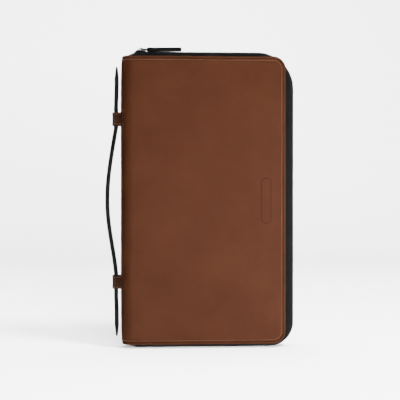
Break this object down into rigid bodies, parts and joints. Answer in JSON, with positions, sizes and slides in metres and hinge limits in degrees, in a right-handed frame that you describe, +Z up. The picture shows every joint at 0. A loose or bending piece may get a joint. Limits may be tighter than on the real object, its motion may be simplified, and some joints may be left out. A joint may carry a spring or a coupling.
{
  "type": "travel document organizer",
  "caption": "Zip-around leather travel document organizer that folds open like a book, with a sliding strap handle on its spine, card pockets, a passport pocket and a zip pocket inside.",
  "frame": {"origin": "under the middle of the whole closed object, standing on the zip along its short side", "axes": "+Z up the long side, +X across the covers from the spine to the zip, +Y through the thickness from the front cover to the back one"},
  "size_m": [0.156, 0.028, 0.2468],
  "materials": {
    "saddle_leather": "brown full-grain leather with a soft sheen and darker edges",
    "inner_leather": "brown smooth pocket leather",
    "strap_leather": "black leather with painted edges",
    "lining_cloth": "dark tan woven lining",
    "pocket_cloth": "black woven pocket cloth",
    "zip_tape": "black woven zip tape",
    "zip_teeth": "black moulded zip teeth",
    "hardware": "gunmetal plated zinc",
    "board": "stiffening fibreboard"
  },
  "bodies": {
    "back_cover": {"back_leather": "saddle_leather", "back_board": "board", "back_lining": "lining_cloth", "zip_tape_back": "zip_tape", "zip_chain_back": "zip_teeth", "zip_stops_back": "hardware", "document_pocket": "inner_leather", "document_edge_strip": "inner_leather", "passport_pocket": "inner_leather", "passport_edge_strip": "inner_leather", "zip_pocket_lining": "pocket_cloth", "zip_pocket_tape": "zip_tape", "zip_pocket_chain": "zip_teeth"},
    "spine": {"spine_leather": "saddle_leather", "spine_board": "board", "spine_lining": "lining_cloth", "spine_tape_top": "zip_tape", "spine_tape_bottom": "zip_tape", "pen_loop": "strap_leather", "keeper_upper": "saddle_leather", "keeper_lower": "saddle_leather"},
    "front_cover": {"front_leather": "saddle_leather", "front_board": "board", "front_lining": "lining_cloth", "zip_tape_front": "zip_tape", "zip_chain_front": "zip_teeth", "zip_stops_front": "hardware", "card_pocket_1": "inner_leather", "card_pocket_2": "inner_leather", "card_pocket_3": "inner_leather", "card_pocket_4": "inner_leather", "card_pocket_5": "inner_leather", "card_pocket_6": "inner_leather", "card_pocket_7": "inner_leather", "card_pocket_8": "inner_leather"},
    "handle_grip": {"handle_grip": "strap_leather"},
    "handle_end_upper": {"handle_end_upper": "strap_leather"},
    "handle_end_lower": {"handle_end_lower": "strap_leather"},
    "zip_slider": {"zip_slider_body": "hardware", "zip_slider_crown": "hardware"},
    "zip_pull": {"zip_pull_link": "hardware", "zip_pull_tab": "strap_leather", "zip_pull_rivet": "hardware"},
    "pocket_slider": {"pocket_slider_body": "hardware", "pocket_slider_crown": "hardware"},
    "pocket_pull": {"pocket_pull": "hardware"}
  },
  "joints": [
    {"name": "spine_fold", "type": "hinge", "parent": "back_cover", "child": "spine", "pos_m": [-0.05505, 0.014, 0], "axis": [0, 0, -1], "range_deg": [0, 90]},
    {"name": "front_fold", "type": "hinge", "parent": "spine", "child": "front_cover", "pos_m": [-0.05505, -0.014, 0], "axis": [0, 0, -1], "range_deg": [0, 90]},
    {"name": "zip_travel", "type": "slide", "parent": "back_cover", "child": "zip_slider", "axis": [1, 0, 0], "range_m": [0, 0.093]},
    {"name": "zip_pull_swing", "type": "hinge", "parent": "zip_slider", "child": "zip_pull", "pos_m": [-0.04835, 0, 0.24515], "axis": [0, -1, 0], "range_deg": [0, 175]},
    {"name": "handle_pull", "type": "slide", "parent": "spine", "child": "handle_grip", "axis": [-1, 0, 0], "range_m": [0, 0.03]},
    {"name": "handle_end_upper_slide", "type": "slide", "parent": "handle_grip", "child": "handle_end_upper", "axis": [0.9231, 0, -0.3846], "range_m": [0, 0.0325]},
    {"name": "handle_end_lower_slide", "type": "slide", "parent": "handle_grip", "child": "handle_end_lower", "axis": [0.9231, 0, 0.3846], "range_m": [0, 0.0325]},
    {"name": "pocket_zip_travel", "type": "slide", "parent": "back_cover", "child": "pocket_slider", "axis": [1, 0, 0], "range_m": [0, 0.079]},
    {"name": "pocket_pull_swing", "type": "hinge", "parent": "pocket_slider", "child": "pocket_pull", "pos_m": [-0.03535, 0.0062, 0.191], "axis": [0, 0, -1], "range_deg": [0, 165]}
  ],
  "couplings": [
    {"joint": "handle_end_upper_slide", "follows": "handle_pull", "ratio": 1.0833},
    {"joint": "handle_end_lower_slide", "follows": "handle_pull", "ratio": 1.0833}
  ]
}
